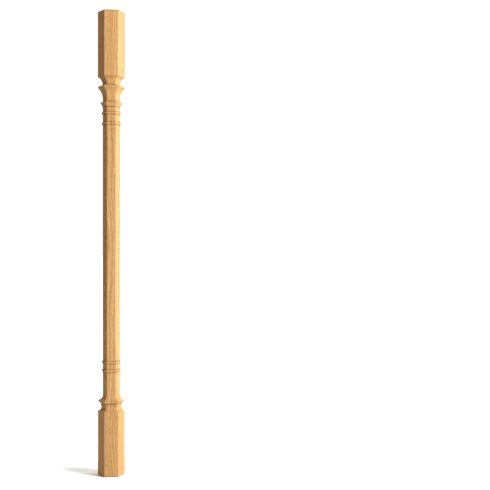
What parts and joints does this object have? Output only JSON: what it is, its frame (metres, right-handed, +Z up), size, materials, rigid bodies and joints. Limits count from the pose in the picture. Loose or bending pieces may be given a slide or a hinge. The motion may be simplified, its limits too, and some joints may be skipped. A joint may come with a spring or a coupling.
{
  "type": "wooden baluster",
  "caption": "Six-sided oak stair baluster with plain end blocks, a slim shaft ringed by beads, a flared collar below and a capital above.",
  "frame": {"origin": "centre of the underside of the base block, on the axis of the baluster", "axes": "+Z up the axis, with two of the six flats facing -Y and +Y and two of the six arrises on the X axis"},
  "size_m": [0.052, 0.0452, 0.9],
  "materials": {
    "oak": "planed and carved light oak with a thin clear satin finish"
  },
  "bodies": {
    "root": {"baluster": "oak"}
  },
  "joints": []
}
